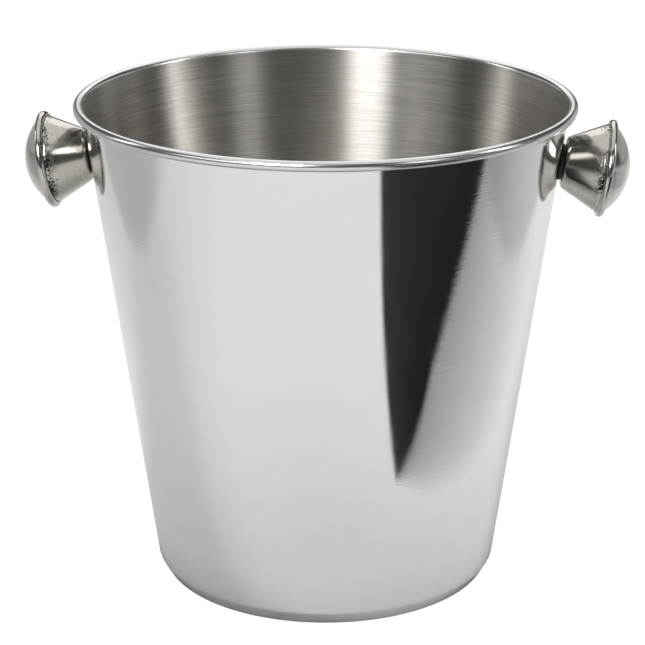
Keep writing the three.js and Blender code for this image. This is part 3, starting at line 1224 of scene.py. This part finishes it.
@dataclass
class Studio:
    """Floor, lamps, cards and camera. Bearings are seen from the bucket, from the camera's side."""

    turn: float = math.radians(3.65)  # the camera's bearing from the bucket's front
    camera_distance: float = 0.9112
    camera_height: float = 0.4256
    camera_dip: float = math.radians(19.19)
    lens: float = 124.7
    shift: float = -0.0048
    aim_height: float = 0.15  # where the lamps point, on the bucket's axis

    def toward(self, bearing: float, distance: float, height: float) -> Vector:
        """The place at so many degrees to the camera's right, metres from the axis and metres up."""
        angle = self.turn + math.radians(bearing)
        return Vector((distance * math.sin(angle), -distance * math.cos(angle), height))

    def build(self) -> None:
        """Sets the studio up."""
        self._camera()
        self._floor()
        self._room()
        for box in (
            Softbox("main_softbox", -23.8, 1.5, 1.15, 0.57, 0.72, 17.2),
            Softbox("right_softbox", 85.2, 1.6, 0.9, 0.16, 0.8, 3.75),
            Softbox("left_softbox", -103, 1.6, 0.9, 0.09, 0.8, 1.95),
            Softbox("ceiling", 180, 0.2, 1.8, 2.4, 2.4, 15, spread=False),
            Softbox("back_wall", 180, 2.2, 1.5, 1.7, 1.6, 11.5, spread=False),
            Softbox("right_horizon", 130, 2.0, 0.34, 1.9, 0.64, 1.7, spread=False),
            Softbox("left_horizon", -130, 2.0, 0.34, 1.9, 0.64, 1.7, spread=False),
            Softbox("right_fill", 44, 1.5, 0.9, 0.42, 0.5, 1.65, spread=False),
            Softbox("left_fill", -55, 1.5, 0.9, 0.8, 0.5, 2.0, spread=False),
            Softbox("top_spread", 180, 0.35, 1.7, 1.2, 1.0, 5.5, mirrored=False),
            Softbox("front_spread", -15, 0.5, 0.9, 0.3, 0.3, 1.8, mirrored=False),
            Softbox("right_spread", 88, 1.3, 0.8, 0.7, 0.7, 12.5, mirrored=False),
            Softbox("back_spread", 180, 1.3, 0.8, 1.6, 0.6, 6, mirrored=False),
        ):
            self._softbox(box)
        self._shades()

    def _shades(self) -> None:
        """Lays the dark cards that the polished wall mirrors."""
        tip = (0.0905, -0.1365)
        edge = [tip, (0.120, -0.139), (0.152, -0.144), (0.203, -0.156), (0.285, -0.154), (1.2, -0.02)]
        front = [tip, (0.107, -0.185), (0.137, -0.288), (0.1745, -0.403), (0.218, -0.57), (0.40, -1.24)]
        far = [(0.0925, -0.1345), (0.15, -0.035), (0.20, 0.075), (0.27, 0.20), (0.37, 0.31), (1.2, 0.5)]
        spans = {  # how far out a knob's patch reaches, and from where to where it lies there
            0.0: (0.06, 0.11),
            0.025: (0.0, 0.18),
            0.05: (-0.06, 0.25),
            0.08: (-0.12, 0.33),
            1.1: (-0.6, 1.2),
        }
        shades = [
            Shade("dark_table", 0.0015, [front, edge], [0.95, 0.985]),
            Shade("table_shadow", 0.0025, *self._fading(edge, far, 0.62)),
        ]
        for side, right, start in (("left", -1, 0.375), ("right", 1, 0.36)):
            rows = [
                [(right * (start + out), low + (high - low) * share) for share in (0, 0.15, 0.85, 1)]
                for out, (low, high) in spans.items()
            ]
            shades.append(Shade(f"{side}_patch", 0.001, rows, [0, 0.24, 0.26, 0.26, 0.26], [0, 1, 1, 0]))
        shades.append(self._foot_shadow())
        ink = self._ink()
        for shade in shades:
            self._shade(shade, ink)

    @staticmethod
    def _foot_shadow() -> Shade:
        """The soft shadow close round the bucket's foot, deepest where it touches the floor.

        Returns:
            Its rings, from the foot outwards.
        """
        bearings = [math.radians(degrees) for degrees in range(-180, 181, 15)]
        rings = {0.068: 0.70, 0.074: 0.44, 0.082: 0.22, 0.10: 0.13, 0.13: 0.10, 0.18: 0.05, 0.26: 0.0}
        rows = [[(radius * math.sin(a), -radius * math.cos(a)) for a in bearings] for radius in rings]
        fades = [1.0 - 0.15 * math.sin(a) for a in bearings]
        return Shade("foot_shadow", 0.0005, rows, list(rings.values()), fades)

    @staticmethod
    def _fading(edge: list[Place], far: list[Place], cover: float) -> tuple[list[list[Place]], list[float]]:
        """Rows from a dark edge to where its shadow ends.

        Args:
            edge: Where the shadow is deepest.
            far: Where it ends.
            cover: How much it hides at its edge.

        Returns:
            The rows, and what each hides.
        """
        steps = 8
        shares = [(step / steps) ** 1.5 for step in range(steps + 1)]
        lines = [(Vector(near), Vector(away)) for near, away in zip(edge, far)]
        rows = [[tuple(near.lerp(away, share)) for near, away in lines] for share in shares]
        return rows, [cover * (1 - share) ** 1.6 for share in shares]

    def _ink(self) -> Material:
        """Black that hides as much of the floor as each card's cover says.

        Returns:
            The material.
        """
        material, bench, shader = new_material("shade_ink")
        bench.tree.nodes.remove(shader)
        cover = bench.add("Attribute", attribute_name="cover").outputs["Fac"]
        black = bench.add("Emission", {"Color": (0, 0, 0, 1)})
        self._blend(bench, cover, bench.add("BsdfTransparent"), black)
        return material

    @staticmethod
    def _blend(bench: Bench, share: Socket, first: Node, second: Node) -> None:
        """Gives a material's surface a mix of two shaders.

        Args:
            bench: The material's bench.
            share: How much of the second.
            first: A shader.
            second: A shader.
        """
        mix = bench.add("MixShader", {0: share, 1: first.outputs[0], 2: second.outputs[0]})
        leave = next(n for n in bench.tree.nodes if n.type == "OUTPUT_MATERIAL")
        bench.feed(leave, {"Surface": mix.outputs[0]})

    def _shade(self, shade: Shade, ink: Material) -> None:
        """Lays one card.

        Args:
            shade: Its rows of points and what they hide.
            ink: Its material.
        """
        mesh = bmesh.new()
        layer = mesh.verts.layers.float.new("cover")
        turned = Matrix.Rotation(self.turn, 4, "Z")
        rows = [
            [bmesh.ops.create_vert(mesh, co=turned @ Vector((x, y, shade.lift)))["vert"][0] for x, y in row]
            for row in shade.edges
        ]
        for row, cover in zip(rows, shade.covers):
            for vert, fade in zip(row, shade.fades or [1.0] * len(row)):
                vert[layer] = cover * fade
        for near, far in zip(rows, rows[1:]):
            for quad in zip(near, near[1:], far[1:], far):
                bmesh.ops.contextual_create(mesh, geom=list(quad))
        card = add_object(shade.name, mesh, [ink])
        card.visible_camera = False
        card.visible_diffuse = False
        card.visible_shadow = False

    def _camera(self) -> None:
        """Stands the camera in front of the bucket, looking a little down."""
        data = bpy.data.cameras.new("camera")
        data.sensor_width = 36.0
        data.lens = self.lens
        data.shift_x = self.shift
        camera = bpy.data.objects.new("camera", data)
        camera.location = self.toward(0, self.camera_distance, self.camera_height)
        camera.rotation_euler = (math.pi / 2 - self.camera_dip, 0, self.turn)
        bpy.context.scene.collection.objects.link(camera)
        bpy.context.scene.camera = camera
        bpy.context.scene.view_settings.view_transform = "Standard"

    def _floor(self) -> None:
        """Lays a plain white floor, evened out for the camera by a little light of its own."""
        material, bench, shader = new_material("floor_paper")
        bench.feed(shader, {"Base Color": (0.8, 0.8, 0.8, 1), "Roughness": 0.9})
        seen = bench.add("LightPath").outputs["Is Camera Ray"]
        glow = bench.add("Emission", {"Strength": 1.1})
        self._blend(bench, bench.maths("MULTIPLY", seen, 0.88), shader, glow)
        mesh = bmesh.new()
        bmesh.ops.create_grid(mesh, x_segments=8, y_segments=8, size=6.0)
        floor = add_object("floor", mesh, [material])

    @staticmethod
    def _room() -> None:
        """Surrounds the floor with a bright wall for the camera, and a dim room for reflections."""
        world = bpy.data.worlds.new("room")
        world.use_nodes = True
        bpy.context.scene.world = world
        bench = Bench(world.node_tree)
        rays = bench.add("LightPath").outputs
        wall = bench.mixed(rays["Is Camera Ray"], (0.10, 0.10, 0.10, 1), (1, 1, 1, 1))
        dim = bench.mixed(rays["Is Glossy Ray"], wall, (0.085, 0.08, 0.075, 1))
        back = next(n for n in world.node_tree.nodes if n.type == "BACKGROUND")
        bench.feed(back, {"Color": dim})

    def _softbox(self, box: Softbox) -> None:
        """Hangs a softbox, turned to the bucket.

        Args:
            box: Its place, size and power.
        """
        data = bpy.data.lights.new(box.name, "AREA")
        data.shape = "RECTANGLE"
        data.size = box.width
        data.size_y = box.depth
        data.energy = box.power
        lamp = bpy.data.objects.new(box.name, data)
        lamp.location = self.toward(box.bearing, box.distance, box.height)
        aim = Vector((0, 0, self.aim_height)) - lamp.location
        lamp.rotation_euler = aim.to_track_quat("-Z", "Y").to_euler()
        lamp.visible_camera = False
        lamp.visible_glossy = box.mirrored
        lamp.visible_diffuse = box.spread
        bpy.context.scene.collection.objects.link(lamp)


# ---------------------------------------------------------------- the object


def main() -> None:
    """Builds the studio, the bucket and both knobs."""
    logging.basicConfig(level=logging.INFO, format="%(name)s %(message)s")
    Studio().build()
    finishes = Finishes()
    axes = {side: KnobAxis(side).frame() for side in ("right", "left")}
    bucket = Bucket.from_frame(finishes)
    bucket.build(list(axes.values()))
    for side, axis in axes.items():
        Knob(finishes, side, axis).build()
        wall_radius = bucket.wall_radius(axis.translation.z / MM)
        Fixing(finishes, side, axis, wall_radius, bucket.sheet).build()
        refinish_kept_nodes(finishes, side)


if __name__ == "__main__":
    main()
